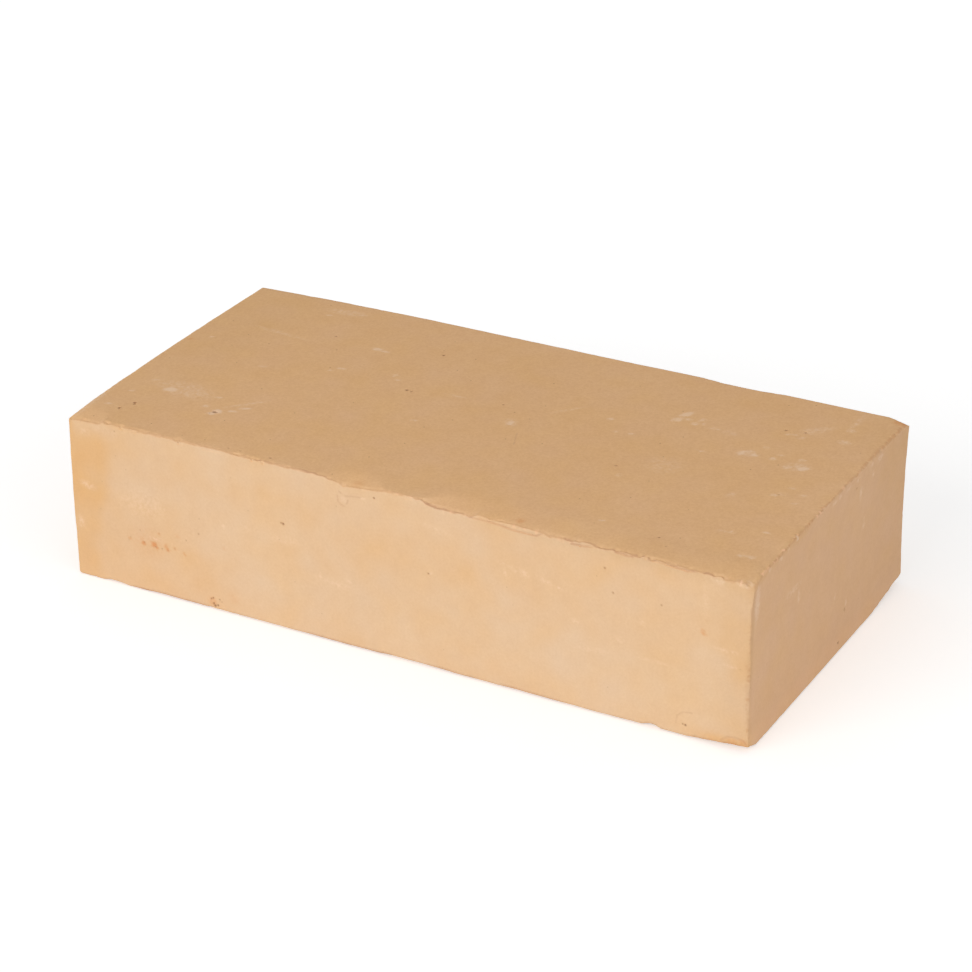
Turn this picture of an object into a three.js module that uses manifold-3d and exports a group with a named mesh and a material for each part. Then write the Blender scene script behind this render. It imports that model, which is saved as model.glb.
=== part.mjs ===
// A solid clay brick, moulded and fired in one piece, with slightly hollow ends and worn,
// chipped arrises (the edges where two faces meet). Millimetres, +Z up. The origin is the
// middle of the lower bed face, +X runs along the length and -Y is the front long face.

import * as THREE from 'three';
import { mergeVertices } from 'three/addons/utils/BufferGeometryUtils.js';
import Module from 'manifold-3d';

// Format of the brick
const LENGTH = 250;
const WIDTH = 124;
const HEIGHT = 60;

// The end faces sink inwards at mid height, because the clay shrank in drying
const END_HOLLOW = 0.45;
const END_HOLLOW_STEPS = 8;

// Every arris is rubbed round, a little more here and a little less there
const ARRIS_ROUNDING = 0.4;
const ARRIS_FACETS = 3;
const ARRIS_STATION = 4; // distance between two even sections of a rubbed arris
const ROW_CLEARANCE = 0.8; // an even section nearer than this to a row's own is left out
const RUB_UNEVENNESS = 0.35; // part of the rounding that comes and goes
const RUB_WAVES = [47, 19, 11]; // lengths of the waves that it comes and goes in
const RUB_FLATNESS = 1.6; // section of a rub: 1 is a quarter ellipse, 2 is a flat bevel

// Some arrises are worn further. Each row is a distance from the left, front or bottom end of
// the arris and how much further the rub then reaches on its first and on its second face.
// Where a reach is less than nought the arris is sharper than the rest.
const WORN_ARRISES = {
  top_left: [
    [0, 3, 3], [8, 2.5, 2.5], [13, 1.9, 1.9], [20, 1.55, 1.55], [28, 1.1, 1.1], [38, 0.95, 0.95],
    [55, 0.4, 0.4], [80, 0, 0],
  ],
  top_back: [[0, 3.6, 1.6], [30, 1.6, 0.8], [60, 0.5, 0.4], [150, 0.5, 0.4], [195, 0, 0]],
  top_front: [
    [0, 9, 1.4], [9, 8, 1.1], [13, 6, 0.9], [15, 0.5, 0.1], [97, 0.2, -0.1], [101, 3, -0.1],
    [104, 7, 0.45], [107.5, 9, 1.3], [110, 9, 1.5], [112.5, 8, 1.1], [117, 6, 0.9], [120, 3, 0.6],
    [123, 0.6, 0.1], [136, 0, 0], [138.3, 3, 1], [142.5, 8, 1.35], [150, 10, 1.25],
    [154, 10, 1.5], [156, 10, 0.7], [161, 10, 0.6], [170, 10, 0.8], [178, 10, 0.8],
    [181, 10, 1.4], [189, 10, 1.4], [191, 10, 0.8], [195, 10, 0.9], [197.5, 10, 1.4],
    [201, 10, 1.3], [203.5, 9, 0.8], [208, 9, 0.9], [211.5, 9, 1.15], [213.5, 9, 0.7],
    [224, 9, 0.8], [231, 9, 1.2], [237.5, 9, 1.2], [239.3, 9, 0.95], [241, 9, 1.6],
    [243.3, 9, 1.7], [245, 9, 1], [247, 9, 0.9], [248.8, 9, 2.1], [250, 9, 3.6],
  ],
  top_right: [[60, 0, 0], [90, 0.7, 0.3]],
  bottom_front: [
    [0, -0.1, -0.15], [11, -0.1, -0.15], [14, 1.6, 0.35], [18, 1.2, 0.2], [21, 0, -0.1],
    [29, 0, -0.1], [32, 1, 0.1], [50, 1, 0], [118, 1, 0.05], [123, 1.5, 0.4], [143, 1.5, 0.45],
    [147, 1.1, 0.15], [160, 1.2, 0.2],
  ],
  bottom_right: [[60, 0, 0], [95, 0.4, 0.2]],
  front_left: [
    [0, 0.7, 0.7], [12, 0.5, 0.5], [20, 0.1, 0.2], [30, 0, 0.1], [45, 0.4, 0.6], [52, 0.9, 1.1],
    [58, 1.1, 1.5],
  ],
  front_right: [[5, 0, 0], [16, 0.6, 0.4], [30, 0.8, 0.5], [38, -0.05, 0.1], [48, -0.15, 0.1]],
  back_right: [[8, 0, 0], [24, 0.6, 0.5], [46, 0.6, 0.5], [56, 0, 0]],
};

// Knocked corners are flat breaks. Each plane passes this far along X, Y and Z from the
// sharp corner.
const KNOCKED_CORNERS = [
  ['front_left_top', [9, 4, 1.8]],
  ['front_left_bottom', [1.6, 1.6, 1.2]],
  ['front_right_top', [3.6, 2.2, 11]],
  ['front_right_bottom', [28, 7, 2.3]],
  ['back_left_top', [3, 3, 1.5]],
  ['back_left_bottom', [5, 5, 2]],
  ['back_right_top', [8, 3.6, 1.8]],
  ['back_right_bottom', [10, 30, 3.3]],
];

// Chips out of the arrises. "at" is the distance of the middle of the chip from the named end
// of the arris, "long" runs along it, and "one" and "two" are the reach on its two faces in
// the order of the arris's name: on the top face and on the front face for a top_front chip.
const CHIPS = [
  { arris: 'top_front', from: 'left', at: 12.5, long: 3, one: 0.9, two: 1.3 },
  { arris: 'top_front', from: 'left', at: 22.2, long: 3, one: 1.8, two: 0.55 },
  { arris: 'top_front', from: 'left', at: 44.6, long: 4.5, one: 2.2, two: 0.6 },
  { arris: 'top_front', from: 'left', at: 73.5, long: 2.4, one: 1.5, two: 0.45 },
  { arris: 'bottom_front', from: 'right', at: 33, long: 8, one: 2.4, two: 1.5 },
  { arris: 'bottom_front', from: 'left', at: 54.5, long: 4, one: 1.2, two: 0.6 },
  { arris: 'top_back', from: 'right', at: 60, long: 34, one: 1.5, two: 1.1 },
  { arris: 'top_right', from: 'front', at: 33, long: 2.4, one: 1, two: 1.2 },
  { arris: 'top_right', from: 'front', at: 53, long: 2, one: 0.9, two: 1 },
];
// A chip is hollow: it goes this many times as deep as a flat cut between its two rims
const CHIP_HOLLOWNESS = 1.1;
const CHIP_MESH_DETAIL = 5;

// The seam of a fold in the clay is open in four places in the front face, just under the
// front upper arris. Each row is a distance from the left end and how far the crack is below
// the upper bed face.
const SEAM_CRACKS = [
  [[153.7, 1.95], [160, 1.85], [165, 2.15], [169, 2.75], [177, 2.85], [179, 1.7]],
  [[189.3, 2.45], [193.6, 2.25], [196.2, 1.9]],
  [[204.2, 1.65], [207.6, 1.85], [210, 1.85]],
  [[215.4, 1.4], [220.4, 1.4], [224.8, 1.85], [228.4, 2.15], [231.4, 1.5]],
];
const SEAM = { wide: 0.55, deep: 0.45, fadeOut: 3, station: 1.5 };

// How far the cutters stand out past the faces that they cut
const CUT_CLEARANCE = 3;
const SEAM_STAND_OUT = 0.2;

const wasm = await Module();
wasm.setup();

// ---- Solids and meshes --------------------------------------------------------------------

function toSolid(geometry) {
  geometry.deleteAttribute('normal');
  geometry.deleteAttribute('uv');
  const welded = mergeVertices(geometry, 1e-5);
  return new wasm.Manifold(new wasm.Mesh({
    numProp: 3,
    vertProperties: new Float32Array(welded.attributes.position.array),
    triVerts: new Uint32Array(welded.index.array),
  }));
}

function toGeometry(solid) {
  const mesh = solid.getMesh();
  const geometry = new THREE.BufferGeometry();
  geometry.setAttribute('position', new THREE.BufferAttribute(mesh.vertProperties, 3));
  geometry.setIndex(new THREE.BufferAttribute(mesh.triVerts, 1));
  geometry.computeVertexNormals();
  return geometry;
}

// A solid that runs through a row of sections. The first point of each section sees all its
// others, so both caps are fans from that point.
function sweptSolid(sections) {
  const count = sections[0].length;
  const positions = sections.flat().flatMap((point) => point.toArray());
  const last = (sections.length - 1) * count;
  const triangles = [];
  for (let i = 0; i < sections.length - 1; i += 1) {
    for (let j = 0; j < count; j += 1) {
      const here = i * count + j;
      const beside = i * count + ((j + 1) % count);
      triangles.push(here, beside, beside + count, here, beside + count, here + count);
    }
  }
  for (let j = 1; j < count - 1; j += 1) {
    triangles.push(0, j + 1, j, last, last + j, last + j + 1);
  }
  const geometry = new THREE.BufferGeometry();
  geometry.setAttribute('position', new THREE.Float32BufferAttribute(positions, 3));
  geometry.setIndex(triangles);
  return toSolid(geometry);
}

// ---- Faces and arrises --------------------------------------------------------------------

// Outward direction of each face
const FACES = {
  left: new THREE.Vector3(-1, 0, 0),
  right: new THREE.Vector3(1, 0, 0),
  front: new THREE.Vector3(0, -1, 0),
  back: new THREE.Vector3(0, 1, 0),
  bottom: new THREE.Vector3(0, 0, -1),
  top: new THREE.Vector3(0, 0, 1),
};
const HALF_SIZE = new THREE.Vector3(LENGTH / 2, WIDTH / 2, HEIGHT / 2);
const ENDS = { x: ['left', 'right'], y: ['front', 'back'], z: ['bottom', 'top'] };

// Radius of the hollow of an end face, which is one arc from bed to bed
const HOLLOW_RADIUS = (HEIGHT * HEIGHT / 4 + END_HOLLOW * END_HOLLOW) / (2 * END_HOLLOW);

function hollowAt(z) {
  const fromMiddle = Math.min(Math.abs(z - HEIGHT / 2), HEIGHT / 2);
  return END_HOLLOW - HOLLOW_RADIUS + Math.sqrt(HOLLOW_RADIUS ** 2 - fromMiddle ** 2);
}

// An arris lies between face one and face two and runs along the axis that is left over
function makeArris(name) {
  const [one, two] = name.split('_');
  const along = ['x', 'y', 'z'].find((axis) => FACES[one][axis] === 0 && FACES[two][axis] === 0);
  return {
    name, one, two, along,
    length: 2 * HALF_SIZE[along],
    normalOne: FACES[one],
    normalTwo: FACES[two],
  };
}

// The sharp arris at a distance from its left, front or bottom end
function arrisPoint(arris, distance) {
  const point = arris.normalOne.clone().add(arris.normalTwo).multiply(HALF_SIZE);
  point[arris.along] = distance - arris.length / 2;
  point.z += HEIGHT / 2;
  point.x -= Math.sign(point.x) * (arris.along === 'z' ? hollowAt(point.z) : 0);
  return point;
}

// ---- Wear ---------------------------------------------------------------------------------

// A smooth wander between -1 and 1, made of a few waves that start at a phase of their own
function wander(distance, waves, phase) {
  const sum = waves.reduce((total, wave, k) => (
    total + Math.sin((2 * Math.PI * distance) / wave + phase * (k + 1))), 0);
  return sum / waves.length;
}

// A value read off between the rows of a list, and held past both of its ends
function between(rows, distance, column) {
  const next = rows.findIndex((row) => row[0] > distance);
  if (next === 0) return rows[0][column];
  if (next < 0) return rows[rows.length - 1][column];
  const [before, after] = [rows[next - 1], rows[next]];
  const share = (distance - before[0]) / (after[0] - before[0]);
  return THREE.MathUtils.lerp(before[column], after[column], share);
}

// How far the rub reaches on face one and on face two
function rubReach(arris, distance, phase) {
  const worn = WORN_ARRISES[arris.name] ?? [[0, 0, 0]];
  const even = ARRIS_ROUNDING * (1 + RUB_UNEVENNESS * wander(distance, RUB_WAVES, phase));
  const odd = ARRIS_ROUNDING * (1 + RUB_UNEVENNESS * wander(distance, RUB_WAVES, phase + 2));
  return [even + between(worn, distance, 1), odd + between(worn, distance, 2)];
}

// The clay that is rubbed away at one place of an arris: outside a curve whose ends lie on the
// two faces
function rubSection(arris, distance, phase) {
  const inside = THREE.MathUtils.clamp(distance, 0, arris.length);
  const [reachOne, reachTwo] = rubReach(arris, inside, phase);
  const sharp = arrisPoint(arris, distance);
  const place = (one, two) => sharp.clone()
    .addScaledVector(arris.normalTwo, -one)
    .addScaledVector(arris.normalOne, -two);
  const rubbed = (turn) => 1 - turn ** RUB_FLATNESS;
  const curve = [];
  for (let k = 0; k <= ARRIS_FACETS; k += 1) {
    const angle = (Math.PI / 2) * (k / ARRIS_FACETS);
    curve.push(place(reachOne * rubbed(Math.sin(angle)), reachTwo * rubbed(Math.cos(angle))));
  }
  const outer = place(-CUT_CLEARANCE, -CUT_CLEARANCE);
  return [outer, place(reachOne, -CUT_CLEARANCE), ...curve, place(-CUT_CLEARANCE, reachTwo)];
}

// Sections stand at even stations, at each row of the worn arris and past both of its ends
function rubCutter(arris, phase) {
  const steps = Math.ceil(arris.length / ARRIS_STATION);
  const rows = (WORN_ARRISES[arris.name] ?? []).map((row) => row[0])
    .filter((distance) => distance > 0 && distance < arris.length);
  const even = Array.from({ length: steps + 1 }, (_, i) => (arris.length * i) / steps)
    .filter((distance) => rows.every((row) => Math.abs(row - distance) > ROW_CLEARANCE));
  const places = [...even, ...rows, -CUT_CLEARANCE, arris.length + CUT_CLEARANCE];
  places.sort((first, second) => first - second);
  return cutterAlong(arris, places.map((distance) => rubSection(arris, distance, phase)));
}

// Sections are listed from face one to face two, which turns right-handed only where face
// one, face two and the arris's own direction make a right-handed set
function cutterAlong(arris, sections) {
  const turned = new THREE.Vector3().crossVectors(arris.normalOne, arris.normalTwo);
  return sweptSolid(turned[arris.along] > 0 ? sections.map(reversedAfterFirst) : sections);
}

function reversedAfterFirst(section) {
  return [section[0], ...section.slice(1).reverse()];
}

// The corner of a solid between three faces is broken off along a plane
function breakCorner(solid, name, spread) {
  const outward = name.split('_').reduce((sum, face) => sum.add(FACES[face]), new THREE.Vector3());
  const corner = outward.clone().multiply(HALF_SIZE);
  corner.z += HEIGHT / 2;
  const reach = new THREE.Vector3(...spread);
  const kept = outward.clone().divide(reach).negate().normalize();
  const onPlane = corner.clone().setX(corner.x - outward.x * reach.x);
  return solid.trimByPlane(kept.toArray(), kept.dot(onPlane));
}

// A chip is a shallow bowl, an ellipsoid whose rim passes through the two reaches
function chipCutter({ arris: name, from, at, long, one, two }) {
  const arris = makeArris(name);
  const distance = ENDS[arris.along][0] === from ? at : arris.length - at;
  const chord = Math.hypot(one, two);
  const rimDepth = (one * two) / chord;
  const depth = rimDepth * CHIP_HOLLOWNESS;
  const inward = new THREE.Vector3()
    .addScaledVector(arris.normalTwo, -two)
    .addScaledVector(arris.normalOne, -one)
    .normalize();
  const across = new THREE.Vector3()
    .addScaledVector(arris.normalTwo, -one)
    .addScaledVector(arris.normalOne, two)
    .normalize();
  const sideways = (one * one - two * two) / (2 * chord);
  const radiusIn = 2 * depth;
  const radiusAcross = chord / 2 / Math.sqrt(1 - ((rimDepth + depth) / radiusIn) ** 2);
  const offCentre = (depth / radiusIn) ** 2 + (sideways / radiusAcross) ** 2;
  const radiusAlong = long / 2 / Math.sqrt(1 - offCentre);
  const centre = arrisPoint(arris, distance)
    .addScaledVector(across, sideways)
    .addScaledVector(inward, -depth);
  const along = new THREE.Vector3().crossVectors(across, inward);
  const bowl = new THREE.IcosahedronGeometry(1, CHIP_MESH_DETAIL);
  bowl.applyMatrix4(new THREE.Matrix4().makeScale(radiusAlong, radiusAcross, radiusIn));
  bowl.applyMatrix4(new THREE.Matrix4().makeBasis(along, across, inward).setPosition(centre));
  return toSolid(bowl);
}

// A crack of the seam is a thin wedge-shaped groove that fades in and out along the front
// face. Its floor lies a little under its upper lip.
function seamSection(arris, crack, distance) {
  const fromEnd = Math.min(distance - crack[0][0], crack[crack.length - 1][0] - distance);
  const strength = Math.min(fromEnd / SEAM.fadeOut, 1);
  const middle = between(crack, distance, 1);
  const floor = (SEAM.deep + SEAM_STAND_OUT / 2) * strength - SEAM_STAND_OUT / 2;
  const halfWidth = (SEAM.wide / 2 / SEAM.deep) * (floor + SEAM_STAND_OUT);
  const place = (down, into) => arrisPoint(arris, distance)
    .addScaledVector(arris.normalOne, -down)
    .addScaledVector(arris.normalTwo, -into);
  return [
    place(middle - halfWidth, -SEAM_STAND_OUT),
    place(middle - halfWidth / 2, floor),
    place(middle + halfWidth, -SEAM_STAND_OUT),
  ];
}

function seamCutter(crack) {
  const arris = makeArris('top_front');
  const start = crack[0][0];
  const long = crack[crack.length - 1][0] - start;
  const steps = Math.ceil(long / SEAM.station);
  const places = Array.from({ length: steps + 1 }, (_, i) => start + (long * i) / steps);
  return cutterAlong(arris, places.map((distance) => seamSection(arris, crack, distance)));
}

// ---- The brick ----------------------------------------------------------------------------

// The long face's outline with its two hollow ends, pushed through the width
function blank() {
  const outline = new THREE.Shape();
  const centre = LENGTH / 2 - END_HOLLOW + HOLLOW_RADIUS;
  const half = Math.asin(HEIGHT / 2 / HOLLOW_RADIUS);
  outline.moveTo(-LENGTH / 2, 0);
  outline.lineTo(LENGTH / 2, 0);
  outline.absarc(centre, HEIGHT / 2, HOLLOW_RADIUS, Math.PI + half, Math.PI - half, true);
  outline.lineTo(-LENGTH / 2, HEIGHT);
  outline.absarc(-centre, HEIGHT / 2, HOLLOW_RADIUS, half, -half, true);
  const geometry = new THREE.ExtrudeGeometry(outline, {
    depth: WIDTH, steps: 1, bevelEnabled: false, curveSegments: END_HOLLOW_STEPS,
  });
  geometry.rotateX(Math.PI / 2);
  geometry.translate(0, WIDTH / 2, 0);
  return toSolid(geometry);
}

const ARRISES = [
  'top_front', 'top_back', 'bottom_front', 'bottom_back',
  'top_left', 'top_right', 'bottom_left', 'bottom_right',
  'front_left', 'front_right', 'back_left', 'back_right',
].map(makeArris);

function brick() {
  let solid = blank();
  ARRISES.forEach((arris, i) => {
    solid = solid.subtract(rubCutter(arris, i));
  });
  KNOCKED_CORNERS.forEach(([name, spread]) => {
    solid = breakCorner(solid, name, spread);
  });
  CHIPS.forEach((chip) => {
    solid = solid.subtract(chipCutter(chip));
  });
  SEAM_CRACKS.forEach((crack) => {
    solid = solid.subtract(seamCutter(crack));
  });
  const geometry = toGeometry(solid);
  const material = new THREE.MeshStandardMaterial({
    color: 0xe2b98c, roughness: 0.95, metalness: 0, flatShading: true,
  });
  const mesh = new THREE.Mesh(geometry, material);
  mesh.name = 'brick';
  return mesh;
}

const group = new THREE.Group();
group.add(brick());

export default group;
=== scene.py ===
import itertools
import random
from collections import namedtuple

import bpy
import numpy as np
from mathutils import Matrix, Vector
from mathutils.bvhtree import BVHTree


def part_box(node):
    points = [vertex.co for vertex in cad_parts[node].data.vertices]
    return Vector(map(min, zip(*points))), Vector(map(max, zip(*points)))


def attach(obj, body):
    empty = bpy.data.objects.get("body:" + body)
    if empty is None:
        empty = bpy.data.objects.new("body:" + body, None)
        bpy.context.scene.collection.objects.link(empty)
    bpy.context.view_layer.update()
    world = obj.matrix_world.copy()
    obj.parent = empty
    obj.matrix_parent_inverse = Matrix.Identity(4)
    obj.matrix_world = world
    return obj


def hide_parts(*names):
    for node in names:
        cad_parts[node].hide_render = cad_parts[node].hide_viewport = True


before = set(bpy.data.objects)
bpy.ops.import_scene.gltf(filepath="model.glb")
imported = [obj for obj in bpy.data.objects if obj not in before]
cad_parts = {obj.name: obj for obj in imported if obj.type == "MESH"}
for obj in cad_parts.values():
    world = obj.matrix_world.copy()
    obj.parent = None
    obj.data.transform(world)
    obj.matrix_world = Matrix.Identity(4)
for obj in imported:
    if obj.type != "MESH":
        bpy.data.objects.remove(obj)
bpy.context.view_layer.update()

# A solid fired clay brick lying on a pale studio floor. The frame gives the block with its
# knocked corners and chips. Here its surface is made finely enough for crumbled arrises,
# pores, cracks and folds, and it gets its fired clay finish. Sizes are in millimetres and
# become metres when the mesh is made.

MM = 0.001

LOW, HIGH = (np.array(corner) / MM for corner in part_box("brick"))
LENGTH, WIDTH, HEIGHT = np.round(HIGH - LOW)
LEFT, RIGHT = -LENGTH / 2, LENGTH / 2
FRONT, BACK = -WIDTH / 2, WIDTH / 2
BLOCK_LOW = np.array([LEFT, FRONT, 0.0])
BLOCK_HIGH = np.array([RIGHT, BACK, HEIGHT])

X, Y, Z = np.eye(3)

# Across, up and outward direction of each face, and how far it stands from the origin
Face = namedtuple("Face", "across up outward offset")
FACES = {
    "top": Face(X, Y, Z, HEIGHT),
    "bottom": Face(X, Y, -Z, 0),
    "front": Face(X, Z, -Y, -FRONT),
    "back": Face(X, Z, Y, BACK),
    "right": Face(Y, Z, X, RIGHT),
    "left": Face(Y, Z, -X, -LEFT),
}

# ---- What is on the surface ---------------------------------------------------------------
# Places on a face are given by the two frame coordinates that span it: x, y on a bed face,
# x, z on a long face and y, z on an end face.

# Open pores, with painted shade in them
Pore = namedtuple("Pore", "face u v radius")
PORES = [
    Pore("top", -109.2, -44.2, 0.65),
    Pore("top", -108.6, -45.2, 0.6),
    Pore("top", -111.5, -49.8, 0.55),
    Pore("top", -111.1, -50.6, 0.5),
    Pore("top", -81.5, -38.1, 0.75),
    Pore("top", -80.6, -38.1, 0.5),
    Pore("top", -33.6, 6.6, 0.65),
    Pore("top", -31.5, 6.2, 0.5),
    Pore("top", -36.6, 36.9, 0.6),
    Pore("top", -38.5, 40.5, 0.35),
    Pore("top", 88.1, -49.8, 0.5),
    Pore("top", 92.4, -53.8, 0.45),
    Pore("top", 91.9, 36.8, 0.56),
    Pore("top", 98.2, 38.1, 0.5),
    Pore("top", 54.4, -12, 0.52),
    Pore("top", 108.6, -6.6, 0.45),
    Pore("top", -78, 33.6, 0.5),
    Pore("top", -71.8, 23.8, 0.4),
    Pore("top", 0.7, 11.4, 0.45),
    Pore("top", -46.3, -58.6, 0.55),
    Pore("top", -57.7, -58.8, 0.4),
    Pore("top", -62.2, -58.8, 0.4),
    Pore("front", -41.3, 39.1, 0.45),
    Pore("front", -40.5, 38.9, 0.58),
    Pore("front", 13.5, 34.3, 0.45),
    Pore("front", -74, 27, 0.4),
    Pore("front", 75.7, 51.9, 0.45),
    Pore("front", 78.6, 44.1, 0.44),
    Pore("front", 95, 44, 0.4),
    Pore("front", 103.8, 4.3, 0.5),
    Pore("front", 102.9, 4.5, 0.4),
    Pore("front", -5.8, 56.4, 0.5),
    Pore("front", 67.2, 57.5, 0.5),
    Pore("front", -59.9, 51, 0.3),
    Pore("front", -105.3, 57.5, 0.35),
    Pore("front", -101.6, 19.3, 0.25),
    Pore("front", -89.9, 23.4, 0.25),
    Pore("front", -69.6, 4.2, 0.45),
    Pore("front", -70.3, 3.8, 0.42),
    Pore("front", -67, 4.2, 0.4),
    Pore("front", -66.2, 3.5, 0.32),
    Pore("front", -67.8, 1.8, 0.5),
    Pore("front", -69.4, 2.2, 0.5),
    Pore("front", -68.9, 1.4, 0.6),
    Pore("front", -66.9, 3.7, 0.25),
    Pore("front", -102.5, 17.9, 0.25),
    Pore("front", -97.6, 22.8, 0.3),
    Pore("front", -96.2, 18.6, 0.3),
    Pore("front", -91.6, 17.9, 0.35),
    Pore("front", -89.1, 17.8, 0.35),
    Pore("front", -86.7, 17.8, 0.28),
    Pore("front", -83.8, 19.1, 0.28),
    Pore("front", -79.1, 23.4, 0.35),
    Pore("front", -112.5, 59.1, 0.45),
    Pore("front", -103, 59.4, 0.4),
    Pore("front", -80, 59.3, 0.5),
    Pore("front", -51.7, 59.2, 0.5),
    Pore("front", 16, 58.3, 0.45),
    Pore("right", 12.7, 13.6, 0.85),
    Pore("right", 8, 3.7, 0.65),
    Pore("right", 17.7, 54.8, 0.6),
    Pore("right", -19.2, 42.2, 0.4),
    Pore("right", -17.6, 42.5, 0.3),
    Pore("right", 0.9, 17.7, 0.4),
    Pore("right", 3, 35.3, 0.4),
]
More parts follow.
